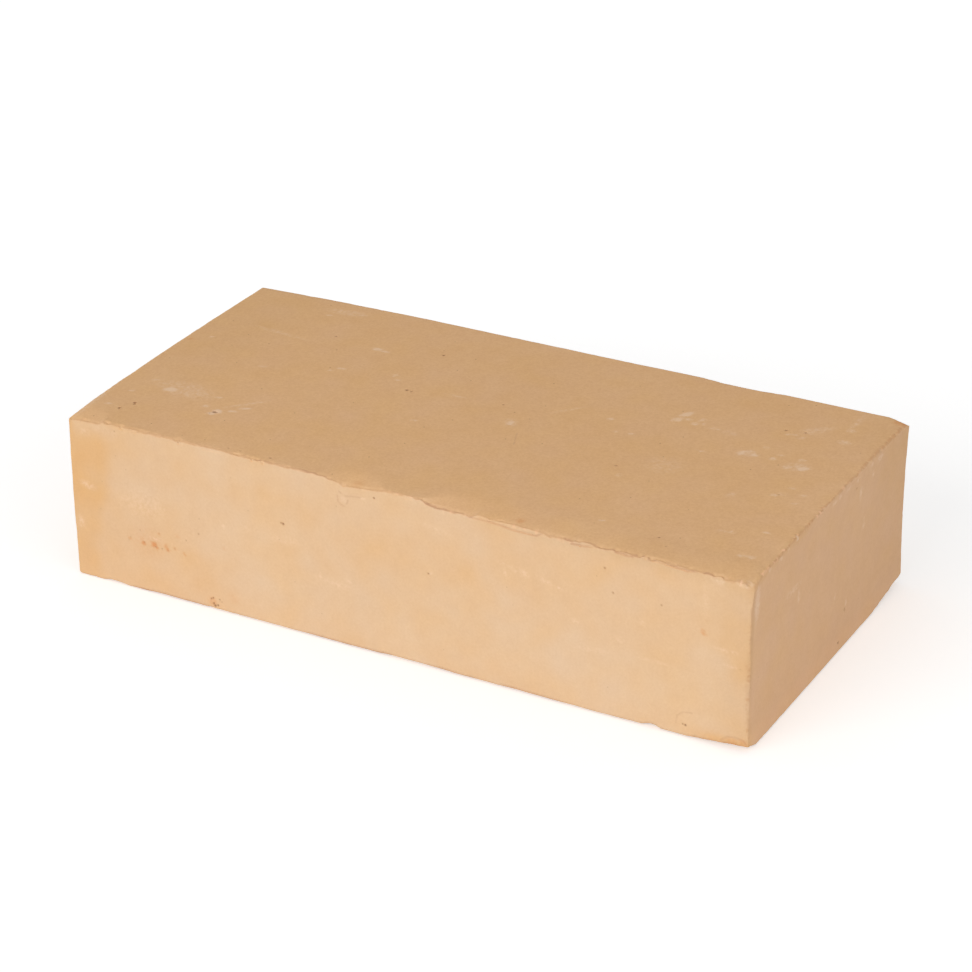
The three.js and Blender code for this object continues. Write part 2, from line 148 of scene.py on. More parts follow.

# Pale smears, and painted highlight near the right end of the front upper arris: half length, half
# width, turn in degrees and strength
ScuffAndHighlight = namedtuple("ScuffAndHighlight", "face u v half_long half_wide turn strength")
SCUFFS_AND_HIGHLIGHTS = [
    ScuffAndHighlight("top", -104.2, -30, 2.8, 1.8, 20, 1.3),
    ScuffAndHighlight("top", -100, -28, 14, 6, -8, 0.25),
    ScuffAndHighlight("top", -93, -28.4, 3, 1.2, 10, 0.42),
    ScuffAndHighlight("top", -97, -31, 3, 1.5, -10, 0.45),
    ScuffAndHighlight("top", -80.8, -37.6, 1.9, 2, 0, 1.0),
    ScuffAndHighlight("top", -81.8, -39.7, 1.5, 1.1, 0, 1.2),
    ScuffAndHighlight("top", -86.6, -35.6, 0.9, 0.9, 0, 0.8),
    ScuffAndHighlight("top", -76.5, -35.1, 1.8, 0.8, 20, 1.0),
    ScuffAndHighlight("top", -73.7, -31.2, 2.2, 0.9, 25, 1.1),
    ScuffAndHighlight("top", -75, -28, 9, 0.8, 48, 0.45),
    ScuffAndHighlight("top", -59.4, 30.5, 2.4, 1.1, -4, 0.9),
    ScuffAndHighlight("top", -55.8, 29.8, 2, 0.6, 0, 0.7),
    ScuffAndHighlight("top", -43, 14.7, 1.4, 1, 60, 0.5),
    ScuffAndHighlight("top", -40.2, 12.1, 1, 0.7, 0, 0.8),
    ScuffAndHighlight("top", -62, 11.1, 1.6, 1, 10, 0.6),
    ScuffAndHighlight("top", 9.7, -0.2, 2, 1.4, -60, 1.1),
    ScuffAndHighlight("top", 9.5, 0, 3.6, 2.6, -60, 0.3),
    ScuffAndHighlight("top", 57.9, 32.6, 2.9, 1.6, 62, 0.9),
    ScuffAndHighlight("top", 56.9, 27.6, 2.4, 1.7, 40, 0.85),
    ScuffAndHighlight("top", 60.3, 29.6, 1.5, 1.2, 0, 0.5),
    ScuffAndHighlight("top", 63.4, 27.4, 1.5, 1.2, 0, 0.75),
    ScuffAndHighlight("top", 64.2, 31.2, 1.2, 1.6, 0, 0.5),
    ScuffAndHighlight("top", 65.4, 31.6, 0.9, 0.9, 0, 0.5),
    ScuffAndHighlight("top", 66.2, 28.5, 1, 0.8, 0, 0.4),
    ScuffAndHighlight("top", 70.8, 27.1, 2, 1.1, 0, 0.45),
    ScuffAndHighlight("top", 76.7, 26.4, 3, 1.6, 0, 0.3),
    ScuffAndHighlight("top", 86, 14.8, 1.2, 2, 0, 0.9),
    ScuffAndHighlight("top", 87.8, 17.2, 1.8, 0.9, 0, 0.7),
    ScuffAndHighlight("top", 90.2, 15.3, 1.3, 1.2, 0, 1),
    ScuffAndHighlight("top", 88.2, 15.3, 3, 2.2, 0, 0.43),
    ScuffAndHighlight("top", 91.5, 21.7, 0.8, 0.8, 0, 0.5),
    ScuffAndHighlight("top", 96.5, 15.5, 1.6, 1.1, 0, 0.65),
    ScuffAndHighlight("top", 107.7, 13.1, 2.4, 1.5, 20, 1.2),
    ScuffAndHighlight("top", 102.8, 11.6, 2.6, 0.8, 5, 0.8),
    ScuffAndHighlight("top", 105.2, 18.8, 1.2, 1, 0, 0.6),
    ScuffAndHighlight("top", 97.9, 19.1, 1.1, 0.6, 0, 0.45),
    ScuffAndHighlight("top", 105.5, 13.5, 5, 3, 20, 0.35),
    ScuffAndHighlight("top", 99.8, 38.1, 1.4, 0.8, 0, 0.3),
    ScuffAndHighlight("top", 102.7, 41.3, 1.2, 0.7, 0, 0.4),
    ScuffAndHighlight("top", 112.1, 36.9, 2.6, 1.6, 0, 0.5),
    ScuffAndHighlight("top", 110.9, 45.8, 1.5, 1.6, 0, 0.6),
    ScuffAndHighlight("top", 110.7, 51.9, 1.2, 1.2, 0, 0.6),
    ScuffAndHighlight("top", 110, 52, 8, 1.1, 88, 0.3),
    ScuffAndHighlight("top", 101, 41.5, 8, 2.2, 42, 0.25),
    ScuffAndHighlight("top", 93.7, 34.3, 1.3, 0.8, 0, 0.42),
    ScuffAndHighlight("top", 98.7, 33.6, 1, 1.2, 0, 0.5),
    ScuffAndHighlight("top", 95.8, 35.2, 1.3, 0.6, 0, 0.45),
    ScuffAndHighlight("top", 104.1, 44.6, 1.5, 1, 0, 0.3),
    ScuffAndHighlight("top", 115.7, -31.9, 1.4, 0.9, 0, 0.6),
    ScuffAndHighlight("top", 107.4, -7.6, 1.4, 0.9, 0, 0.8),
    ScuffAndHighlight("top", 110.4, -0.8, 1.3, 0.8, 0, 0.5),
    ScuffAndHighlight("top", 109.8, -6, 2.5, 1.5, 0, 0.15),
    ScuffAndHighlight("top", 115.3, -4.2, 1.4, 0.8, 0, 0.5),
    ScuffAndHighlight("top", 115.5, -9.7, 1, 0.7, 0, 0.7),
    ScuffAndHighlight("top", 118.2, -48.6, 1.5, 1.4, 0, 0.55),
    ScuffAndHighlight("top", 114.9, -49, 1.5, 1.1, 0, 0.5),
    ScuffAndHighlight("top", 37.5, 18, 1.4, 1, 0, 0.9),
    ScuffAndHighlight("top", 48.3, 10.7, 1, 0.7, 0, 0.65),
    ScuffAndHighlight("top", 43, 10.3, 1, 0.8, 0, 0.8),
    ScuffAndHighlight("top", 74, 9.8, 1, 0.8, 0, 1),
    ScuffAndHighlight("top", -115.6, -36.7, 1, 0.8, 0, 0.6),
    ScuffAndHighlight("top", -116.7, -48.9, 1.2, 0.7, 0, 0.8),
    ScuffAndHighlight("top", -113.4, -25.6, 1, 0.7, 0, 0.8),
    ScuffAndHighlight("top", -86.3, -28, 1.1, 0.8, 0, 0.6),
    ScuffAndHighlight("top", -98, 27.1, 1.5, 0.7, 0, 0.25),
    ScuffAndHighlight("top", -97, 27, 12, 1.2, -6, 0.25),
    ScuffAndHighlight("top", 95.4, -13.5, 2.6, 1.2, 70, 0.28),
    ScuffAndHighlight("top", 103.2, -37.4, 2.2, 0.7, 5, 0.35),
    ScuffAndHighlight("top", 106.3, -36.5, 1.2, 0.8, 0, 0.6),
    ScuffAndHighlight("top", -16.5, 9.8, 6, 0.8, 0, 0.25),
    ScuffAndHighlight("top", -19.5, -13.2, 1.1, 0.7, 0, 0.7),
    ScuffAndHighlight("top", -64.6, 8.3, 1.1, 0.7, 0, 0.8),
    ScuffAndHighlight("top", -89.9, 48.1, 1.1, 0.7, 0, 0.8),
    ScuffAndHighlight("top", 21.5, 17.2, 8, 1, 50, 0.2),
    ScuffAndHighlight("top", 68, -5, 7, 7, 0, 0.15),
    ScuffAndHighlight("top", 58.3, -17.6, 1.4, 0.9, -50, 0.5),
    ScuffAndHighlight("top", -87, 0.3, 1.4, 0.8, 0, 0.75),
    ScuffAndHighlight("top", -116.5, 12.8, 1.2, 0.8, 0, 0.35),
    ScuffAndHighlight("top", -122.4, -49, 13, 1.8, 92, 0.3),
    ScuffAndHighlight("top", 67.4, -48.1, 1.4, 0.9, 0, 0.62),
    ScuffAndHighlight("top", -85, 53, 9, 2.5, 6, 0.3),
    ScuffAndHighlight("front", -118, 35, 3.8, 1.4, -8, 0.36),
    ScuffAndHighlight("front", -122, 20.5, 1.6, 2.4, 0, 0.36),
    ScuffAndHighlight("front", -19.7, 21.1, 1.2, 0.8, 0, 0.35),
    ScuffAndHighlight("front", -21, 22, 8.5, 1.1, -4, 0.2),
    ScuffAndHighlight("front", -16.2, 23.9, 1.2, 0.9, 0, 0.25),
    ScuffAndHighlight("front", -27.1, 23.6, 1, 0.9, 0, 0.3),
    ScuffAndHighlight("front", -40, 33, 6, 1.6, 4, 0.15),
    ScuffAndHighlight("front", -64, 32.5, 0.9, 0.9, 0, 0.35),
    ScuffAndHighlight("front", -54, 34, 2, 0.9, 0, 0.2),
    ScuffAndHighlight("front", -96, 33, 12, 6, 0, 0.17),
    ScuffAndHighlight("front", 42, 44.2, 6, 0.7, -20, 0.2),
    ScuffAndHighlight("front", 41, 41.6, 0.9, 1, 0, 0.35),
    ScuffAndHighlight("front", 47.8, 43.1, 2.2, 1.5, -25, 0.3),
    ScuffAndHighlight("front", 56.8, 41.8, 1.5, 0.8, -25, 0.3),
    ScuffAndHighlight("front", 54.1, 42.5, 1.5, 0.7, -20, 0.32),
    ScuffAndHighlight("front", 60.2, 41.1, 1.1, 0.7, 0, 0.4),
    ScuffAndHighlight("front", 72, 22.5, 7, 0.8, 1, 0.2),
    ScuffAndHighlight("front", 92, 23.9, 8, 0.5, 0, 0.15),
    ScuffAndHighlight("front", 81, 28.5, 1.8, 1, 0, 0.3),
    ScuffAndHighlight("front", 66, 31.2, 1.4, 0.6, 20, 0.5),
    ScuffAndHighlight("front", 88.6, 36.6, 1.6, 1.2, 30, 0.15),
    ScuffAndHighlight("front", 117.5, 34.2, 4, 0.4, 0, 0.35),
    ScuffAndHighlight("front", 113.7, 33.8, 1.3, 0.8, 0, 0.12),
    # these two patches are painted highlight below the crest near the right front corner
    ScuffAndHighlight("front", 113.5, 57, 3, 1.2, -5, 0.3),
    ScuffAndHighlight("front", 122, 57.6, 3, 1.1, -8, 0.3),
    ScuffAndHighlight("front", 118, 28.8, 3, 0.6, 4, 0.25),
    ScuffAndHighlight("front", 109.5, 50, 8, 1.2, 90, 0.15),
    ScuffAndHighlight("front", 16, 51, 7, 0.8, -10, 0.15),
    ScuffAndHighlight("front", 14.4, 34.9, 0.7, 1, 0, 0.3),
    ScuffAndHighlight("front", -17.2, 53.2, 1.3, 1.3, 0, 0.25),
    ScuffAndHighlight("front", -9.5, 55.2, 1.6, 0.5, 0, 0.4),
    ScuffAndHighlight("front", -117.6, 55, 2, 1.8, 0, 0.18),
    ScuffAndHighlight("front", -111, 57, 4.5, 1.3, -4, 0.12),
    ScuffAndHighlight("front", -105.9, 56.3, 2, 1.4, 0, 0.13),
    ScuffAndHighlight("front", -91.3, 21, 3.5, 1, 0, 0.35),
    ScuffAndHighlight("front", -81.9, 57.5, 2.4, 0.8, 0, 0.06),
    ScuffAndHighlight("right", -30, 41.5, 7, 1.4, 0, 0.28),
    ScuffAndHighlight("right", -25.9, 37, 2.6, 1.1, 95, 0.55),
    ScuffAndHighlight("right", 25.9, 38.4, 1.3, 2, 0, 0.4),
    ScuffAndHighlight("right", -0.7, 58, 2, 0.9, 0, 0.7),
    ScuffAndHighlight("right", 3.8, 58.2, 1.2, 0.8, 0, 0.6),
    ScuffAndHighlight("right", 11, 57.9, 2.2, 0.8, 0, 0.5),
    ScuffAndHighlight("right", -29.3, 59, 0.9, 0.7, 0, 2),
    ScuffAndHighlight("right", -35.9, 58.3, 0.9, 0.6, 0, 0.6),
    ScuffAndHighlight("right", -41.8, 57.8, 1.5, 0.8, 0, 0.6),
    ScuffAndHighlight("right", -49.8, 57.8, 1.4, 0.8, 0, 0.5),
    ScuffAndHighlight("right", 18.7, 57.7, 2, 0.8, 0, 0.35),
    ScuffAndHighlight("right", 36.5, 57.7, 3.3, 1.2, 0, 0.4),
    ScuffAndHighlight("right", 29.7, 58.2, 1.5, 0.8, 0, 0.35),
    ScuffAndHighlight("right", 31.6, 54.1, 1, 1.2, 0, 0.5),
    ScuffAndHighlight("right", 21.8, 51.5, 1.3, 2.8, 0, 0.6),
    ScuffAndHighlight("right", 13.6, 15.7, 1, 1.3, 0, 0.65),
    ScuffAndHighlight("right", 3.9, 22.3, 0.8, 1, 0, 0.5),
    ScuffAndHighlight("right", -58, 50, 7, 1.8, 90, 0.7),
]

PORES_ON_A_HIDDEN_FACE = 9
SMEARS_ON_A_HIDDEN_FACE = 12
CHANCE_MARGIN = 4  # chance marks keep this far from the arrises


def chance_marks(face, seed):
    """Pores and smears as chance leaves them on a face."""
    chance = random.Random(seed)
    half_across = FACES[face].across @ BLOCK_HIGH - CHANCE_MARGIN
    low = FACES[face].up @ BLOCK_LOW + CHANCE_MARGIN
    high = FACES[face].up @ BLOCK_HIGH - CHANCE_MARGIN
    for _ in range(PORES_ON_A_HIDDEN_FACE):
        spot = chance.uniform(-half_across, half_across), chance.uniform(low, high)
        PORES.append(Pore(face, *spot, chance.uniform(0.35, 0.8)))
    for _ in range(SMEARS_ON_A_HIDDEN_FACE):
        spot = chance.uniform(-half_across, half_across), chance.uniform(low, high)
        long, wide = chance.uniform(1.5, 9), chance.uniform(0.6, 2.5)
        turn, strength = chance.uniform(-30, 60), chance.uniform(0.1, 0.5)
        SCUFFS_AND_HIGHLIGHTS.append(ScuffAndHighlight(face, *spot, long, wide, turn, strength))


for seed, hidden_face in enumerate(("back", "left", "bottom")):
    chance_marks(hidden_face, seed)

# Rust-coloured specks, and a few wide faint stains round them
RustSpeck = namedtuple("RustSpeck", "face u v radius strength")
RUST = [
    RustSpeck("front", -102, 18.7, 0.9, 0.45),
    RustSpeck("front", -97, 20, 0.9, 0.5),
    RustSpeck("front", -96.4, 18.2, 1.2, 0.85),
    RustSpeck("front", -92.1, 18.6, 1.4, 1),
    RustSpeck("front", -91.1, 17.7, 0.9, 0.8),
    RustSpeck("front", -87.4, 19.2, 1.1, 0.6),
    RustSpeck("front", -86.7, 18, 0.9, 0.8),
    RustSpeck("front", -83.8, 19.1, 0.9, 0.35),
    RustSpeck("front", -89.9, 23.2, 0.8, 0.35),
    RustSpeck("front", -82.5, 24.3, 0.9, 0.3),
    RustSpeck("front", -79.9, 18.2, 0.6, 0.5),
    RustSpeck("front", -63.7, 24.1, 0.7, 0.4),
    RustSpeck("front", -61, 5.5, 2.2, 0.12),
    RustSpeck("front", -62, 7, 1.5, 0.1),
    RustSpeck("front", -97.6, 22.8, 0.7, 0.2),
    RustSpeck("front", 109.1, 38.3, 1.1, 0.75),
    RustSpeck("front", 119.5, 2.2, 2.6, 0.3),
    RustSpeck("front", 123, 3.6, 1.6, 0.3),
    RustSpeck("front", -70, 3, 2, 0.4),
    RustSpeck("front", -95, 19, 8, 0.12),
    RustSpeck("top", 45, -59, 1.7, 0.6),
    RustSpeck("top", -13, -60, 2.6, 0.2),
    RustSpeck("top", -122, 8, 1.2, 0.5),
    RustSpeck("top", 122.5, 59.5, 2.6, 0.6),
]

# Fine cracks: the points that each one passes through, its width and its depth
Crack = namedtuple("Crack", "face points width depth")
CRACKS = [
    Crack("front", [(-19.3, 54.1), (-19.2, 52.4), (-18.4, 51.3), (-17.2, 50.9)], 0.6, 0.16),
    Crack("front", [(-16, 52), (-15.4, 53.4)], 0.5, 0.04),
    Crack("front", [(-18.8, 55.9), (-18, 55.4)], 0.5, 0.06),
    Crack("front", [(-16.5, 54.7), (-14, 55.1), (-11, 55.4)], 0.5, 0.04),
    Crack("front", [(115.7, 2.4), (117.8, 4.2), (120.5, 4.7), (123.2, 4.3), (124.5, 2.8)], 0.6, 0.08),
    Crack("front", [(100.5, 4.4), (101, 7.2), (103, 8.8), (106, 9.2)], 0.5, 0.02),
    Crack("top", [(15.2, -5.9), (16.2, -8.7), (17.4, -11.4), (18.1, -13.6)], 0.5, 0.04),
]

# Cracks of the fold in the clay, just under the front upper arris
FOLD_CRACKS = [
    Crack("front", [(28.7, 58.05), (35, 58.15), (40, 57.85), (44, 57.25), (52, 57.15), (54, 58.3)],
          0.55, 0.15),
    Crack("front", [(64.3, 57.55), (68.6, 57.75), (71.2, 58.1)], 0.65, 0.25),
    Crack("front", [(79.2, 58.35), (82.6, 58.15), (85, 58.15)], 0.65, 0.25),
    Crack("front", [(90.4, 58.6), (95.4, 58.6), (99.8, 58.15), (103.4, 57.85), (106.4, 58.5)],
          0.65, 0.25),
]


def place(face, u, v):
    """The point of a face with the frame coordinates u and v."""
    side = FACES[face]
    return side.across * u + side.up * v + side.outward * side.offset


def turned(face, degrees):
    """A direction in a face and the one square to it, turned from the across direction."""
    side = FACES[face]
    angle = np.radians(degrees)
    along = np.cos(angle) * side.across + np.sin(angle) * side.up
    return along, np.cross(side.outward, along)


def mark_distance(points, mark):
    """Distance of each point from the middle of a mark."""
    return np.linalg.norm(points - place(mark.face, mark.u, mark.v), axis=1)


def smooth_step(value, start, end):
    """0 up to start, 1 from end on, and smooth between them."""
    share = np.clip((value - start) / (end - start), 0, 1)
    return share * share * (3 - 2 * share)


# ---- Noise --------------------------------------------------------------------------------

def lattice_value(corner, seed):
    """A repeatable number from -1 to 1 for each lattice corner."""
    code = corner.astype(np.int64).astype(np.uint32)
    mixed = code[:, 0] * np.uint32(374761393) + code[:, 1] * np.uint32(668265263)
    mixed = mixed + code[:, 2] * np.uint32(1440662683) + np.uint32(seed * 7919 + 13)
    mixed = (mixed ^ (mixed >> np.uint32(13))) * np.uint32(1274126177)
    mixed = (mixed ^ (mixed >> np.uint32(15))) * np.uint32(2246822519)
    mixed = mixed ^ (mixed >> np.uint32(16))
    return mixed / 2.0 ** 31 - 1


def soft_noise(points, wave, seed):
    """Smooth noise from -1 to 1 with bumps about one wave long."""
    scaled = points / wave
    base = np.floor(scaled)
    share = scaled - base
    share = share * share * (3 - 2 * share)
    total = np.zeros(len(points))
    for corner in itertools.product((0, 1), repeat=3):
        weight = np.prod(np.where(corner, share, 1 - share), axis=1)
        total += weight * lattice_value(base + corner, seed)
    return total


# ---- The fine surface ---------------------------------------------------------------------
# Each face of the sharp block is cut into square cells, which are halved again and again
# where the surface is busy. Corners of cells lie on one lattice, so faces join without gaps.

FINEST_CELL = 0.25
FINE_CELL = 0.5
MIDDLE_CELL = 1.0
WIDEST_CELL = 2.0
COARSEST_STEP = round(WIDEST_CELL / FINEST_CELL)  # lattice steps in the widest cell
LATTICE = np.round((BLOCK_HIGH - BLOCK_LOW) / FINEST_CELL).astype(int)
KEY_BASE = 4096  # more than the lattice has steps along any side


def arris_distance(points):
    """How far each point of the block's surface is from the nearest arris."""
    inset = np.minimum(points - BLOCK_LOW, BLOCK_HIGH - points)
    return np.sort(inset, axis=1)[:, 1]


def near_line(points, start, end):
    """Distance of each point from a straight stretch."""
    start, end = np.asarray(start, float), np.asarray(end, float)
    run = end - start
    share = np.clip((points - start) @ run / (run @ run), 0, 1)
    return np.linalg.norm(points - start - share[:, None] * run, axis=1)


def near_crack(points, crack):
    """Distance of each point from a crack."""
    corners = [place(crack.face, u, v) for u, v in crack.points]
    stretches = zip(corners, corners[1:])
    return np.min([near_line(points, a, b) for a, b in stretches], axis=0)


# The arrises that are broken most, and how wide a strip of each is made finest
BUSY_ARRISES = [
    ((LEFT, FRONT, HEIGHT), (RIGHT, FRONT, HEIGHT), 2.4),
    ((RIGHT, FRONT, HEIGHT), (RIGHT, BACK, HEIGHT), 1.5),
    ((RIGHT, FRONT, 0), (RIGHT, FRONT, HEIGHT), 1.5),
]


def wanted_cell(points):
    """The cell size that the surface needs at each point."""
    wanted = np.full(len(points), WIDEST_CELL)

    def refine(where, cell):
        wanted[where] = np.minimum(wanted[where], cell)

    edge = arris_distance(points)
    refine(edge < 4, MIDDLE_CELL)
    refine(edge < 1.2, FINE_CELL)
    for start, end, strip in BUSY_ARRISES:
        refine(near_line(points, start, end) < strip, FINEST_CELL)
    for scuff_and_highlight in SCUFFS_AND_HIGHLIGHTS:
        refine(mark_distance(points, scuff_and_highlight) < scuff_and_highlight.half_long + 1, MIDDLE_CELL)
    for speck in RUST:
        refine(mark_distance(points, speck) < speck.radius + 1, MIDDLE_CELL)
    for pore in PORES:
        away = mark_distance(points, pore)
        refine(away < 4 * pore.radius, FINE_CELL)
        refine(away < 1.6 * pore.radius, FINEST_CELL)
    for crack in CRACKS + FOLD_CRACKS:
        away = near_crack(points, crack)
        refine(away < 1.6, FINE_CELL)
        refine(away < crack.width, FINEST_CELL)
    return wanted


SQUARE = np.array([(0, 0), (1, 0), (1, 1), (0, 1)])


def face_cells(axis, side):
    """The four lattice corners of each cell of one face, counter-clockwise from outside."""
    across, up = (axis + 1) % 3, (axis + 2) % 3
    step = COARSEST_STEP
    starts = [np.arange(0, LATTICE[k], step) for k in (across, up)]
    corners = np.stack(np.meshgrid(*starts, indexing="ij"), -1).reshape(-1, 2)
    found = []
    while len(corners):
        middles = np.empty((len(corners), 3))
        middles[:, [across, up]] = corners + step / 2
        middles[:, axis] = side * LATTICE[axis]
        sizes = wanted_cell(BLOCK_LOW + middles * FINEST_CELL)
        halved = (sizes < step * FINEST_CELL) & (step > 1)
        squares = corners[~halved][:, None] + step * SQUARE
        cells = np.empty((len(squares), 4, 3), int)
        cells[:, :, [across, up]] = squares
        cells[:, :, axis] = side * LATTICE[axis]
        found.append(cells if side else cells[:, ::-1])
        step //= 2
        corners = (corners[halved][:, None] + step * SQUARE).reshape(-1, 2)
    return np.concatenate(found)


def lattice_key(corners):
    """One whole number for each lattice corner."""
    return (corners[..., 0] * KEY_BASE + corners[..., 1]) * KEY_BASE + corners[..., 2]


def points_between(start, end, known):
    """The known lattice points strictly between two corners of a cell, in order."""
    if (start + end).max() == 0 or ((start + end) % 2).any():
        return []
    middle = (start + end) // 2
    if int(lattice_key(middle)) not in known:
        return []
    first = points_between(start, middle, known)
    return first + [middle] + points_between(middle, end, known)


def block_surface():
    """Lattice points and faces of the whole block: squares, and fans where a small cell
    meets a wide one."""
    cells = np.concatenate([face_cells(axis, side) for axis in range(3) for side in (0, 1)])
    keys = lattice_key(cells)
    known = set(keys.ravel().tolist())
    edge_middles = (cells + np.roll(cells, -1, axis=1)) / 2
    whole = (edge_middles % 1 == 0).all(axis=2)
    middle_keys = lattice_key(edge_middles.astype(int))
    busy = (np.isin(middle_keys, keys) & whole).any(axis=1)
    loops = [list(row) for row in keys[~busy].tolist()]
    points = list(cells.reshape(-1, 3))
    for cell in cells[busy]:
        ring = []
        for start, end in zip(cell, np.roll(cell, -1, axis=0)):
            ring += [start] + points_between(start, end, known)
        centre = (cell[0] + cell[2]) // 2
        points.append(centre)
        ring_keys = [int(lattice_key(point)) for point in ring]
        centre_key = int(lattice_key(centre))
        loops += [[centre_key, a, b] for a, b in zip(ring_keys, ring_keys[1:] + ring_keys[:1])]
    points = np.array(points)
    unique, first = np.unique(lattice_key(points), return_index=True)
    number = {key: index for index, key in enumerate(unique.tolist())}
    faces = [[number[key] for key in loop] for loop in loops]
    return BLOCK_LOW + points[first] * FINEST_CELL, faces


# ---- Relief -------------------------------------------------------------------------------

CORE_INSET = 10.0  # the surface is pushed towards a core this far inside the block
OUTSIDE = 2.0  # the search for the framed solid starts this far outside the block


def push_directions(points):
    """Inward direction of each point of the block: square to a face in its middle, and
    fanned out near arrises and corners."""
    core = np.clip(points, BLOCK_LOW + CORE_INSET, BLOCK_HIGH - CORE_INSET)
    inward = core - points
    return inward / np.linalg.norm(inward, axis=1)[:, None]


def onto_frame(points, inward):
    """The points, moved along their inward directions onto the framed solid."""
    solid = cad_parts["brick"].data
    corners = [vertex.co / MM for vertex in solid.vertices]
    tree = BVHTree.FromPolygons(corners, [tuple(face.vertices) for face in solid.polygons])
    landed = points.copy()
    for index, (point, direction) in enumerate(zip(points, inward)):
        hit = tree.ray_cast(Vector(point - direction * OUTSIDE), Vector(direction))[0]
        if hit is not None:
            landed[index] = hit
    return landed


EDGE_STATION = 1.0  # the arrises are followed in steps of this length
ARRISES = [pair for pair in itertools.combinations(FACES, 2)
           if FACES[pair[0]].outward @ FACES[pair[1]].outward == 0]
# How deep the nicks go in the broken arrises; the others are only a little uneven
NICK_DEPTHS = {("top", "front"): 0.45, ("top", "right"): 0.5, ("front", "right"): 0.3}
PLAIN_NICK_DEPTH = 0.12
JAG_DEPTH = 0.7  # how far an arris is knocked down or back at most
PORE_BOWL = 0.6  # depth of a pore as a share of its radius
FULL_SHADE_DEPTH = 0.2  # a pore this deep gets the full painted shade
FACE_SETBACK = 0.05  # how far the pressed faces lie under the framed ones,
SLOW_WAVE_DEPTH = 0.035  # with slow
QUICK_WAVE_DEPTH = 0.015  # and quick unevenness


def edge_distance(points, pair, lean=1):
    """How far each point is over the faces from the worn arris between two faces. A lean
    over 1 counts from where the first face meets the rub, and under 1 from the second."""
    one, two = (FACES[name].outward for name in pair)
    stations = (points - BLOCK_LOW) @ np.abs(np.cross(one, two)) / EDGE_STATION
    outward = (points - BLOCK_HIGH) @ one * lean + points @ two
    crest = np.full(int(stations.max()) + 2, -np.inf)
    np.maximum.at(crest, np.round(stations).astype(int), outward)
    return np.interp(stations, np.arange(len(crest)), crest) - outward


def nick_depth(points):
    """Depth of the small nicks along the arrises."""
    spots = smooth_step(soft_noise(points, wave=1.9, seed=11), 0.15, 0.75)
    specks = 0.5 * smooth_step(soft_noise(points, wave=0.8, seed=12), 0.0, 0.8)
    come_and_go = 0.55 + 0.45 * soft_noise(points, wave=15.0, seed=13)
    depth = np.zeros(len(points))
    for pair in ARRISES:
        near = 1 - smooth_step(edge_distance(points, pair), 0.1, 1.3)
        deep = NICK_DEPTHS.get(pair, PLAIN_NICK_DEPTH)
        depth = np.maximum(depth, deep * near * come_and_go * np.maximum(spots, specks))
    return depth


def jag_shift(points):
    """How the front upper arris is knocked down in some places and back in others, and how
    the right upper arris is worn down where it nears the front corner."""
    near = 1 - smooth_step(edge_distance(points, ("top", "front")), 0.1, 1.1)
    jag = JAG_DEPTH * near * soft_noise(points, wave=1.9, seed=16)
    near = 1 - smooth_step(edge_distance(points, ("top", "right")), 0.2, 4)
    corner = 1 - smooth_step(points[:, 1], FRONT + 18, FRONT + 30)
    worn = near * (JAG_DEPTH * corner + 0.2 * soft_noise(points, wave=1.7, seed=17))
    down = np.minimum(jag, 0) - np.maximum(worn, 0)
    return down[:, None] * Z + np.maximum(jag, 0)[:, None] * Y


def pore_depth(points):
    """Depth of the pores."""
    depth = np.zeros(len(points))
    for pore in PORES:
        bowl = np.clip(1 - (mark_distance(points, pore) / pore.radius) ** 2, 0, 1)
        depth = np.maximum(depth, pore.radius * PORE_BOWL * bowl)
    return depth


def crack_depth(points, cracks):
    """Depth of fine cracks."""
    depth = np.zeros(len(points))
    for crack in cracks:
        away = near_crack(points, crack)
        depth = np.maximum(depth, crack.depth * np.clip(1 - 2 * away / crack.width, 0, 1))
    return depth


def face_wave(points):
    """Slow unevenness of the pressed faces."""
    slow = soft_noise(points, wave=34.0, seed=31)
    quick = soft_noise(points, wave=9.0, seed=32)
    return FACE_SETBACK + SLOW_WAVE_DEPTH * slow + QUICK_WAVE_DEPTH * quick


def textured_surface():
    """Points and faces of the finished surface."""
    block, faces = block_surface()
    inward = push_directions(block)
    solid = onto_frame(block, inward)
    depth = face_wave(solid) + nick_depth(solid) + pore_depth(solid)
    depth += crack_depth(solid, CRACKS + FOLD_CRACKS)
    return solid + inward * depth[:, None] + jag_shift(solid), faces


# ---- Marks that only colour the surface ---------------------------------------------------
# Bare numbers in the masks are places and distances in millimetres, or strengths.

ON_FACE = 2.5  # a smear reaches only points this near the plane of its face
CRACK_DARKNESS = 0.35
FOLD_CRACK_DARKNESS = 0.75
CORNER_DOTS_DARKNESS = 0.4
CRUMB_AND_HIGHLIGHT_STRENGTH = 1.1


def smear_and_highlight_mask(points, marks):
    """1 in the middle of a smear, and of a patch of painted highlight, and 0 round it."""
    mask = np.zeros(len(points))
    for mark in marks:
        along, square = turned(mark.face, mark.turn)
        from_middle = points - place(mark.face, mark.u, mark.v)
        on_face = np.abs(from_middle @ FACES[mark.face].outward) < ON_FACE
        away = np.hypot(from_middle @ along / mark.half_long, from_middle @ square / mark.half_wide)
        mask = np.maximum(mask, mark.strength * on_face * (1 - smooth_step(away, 0.35, 1.25)))
    return mask


def speck_mask(points, marks):
    """1 in the middle of a round speck and 0 round it."""
    mask = np.zeros(len(points))
    for mark in marks:
        away = mark_distance(points, mark) / mark.radius
        mask = np.maximum(mask, mark.strength * (1 - smooth_step(away, 0.3, 1.2)))
    return mask


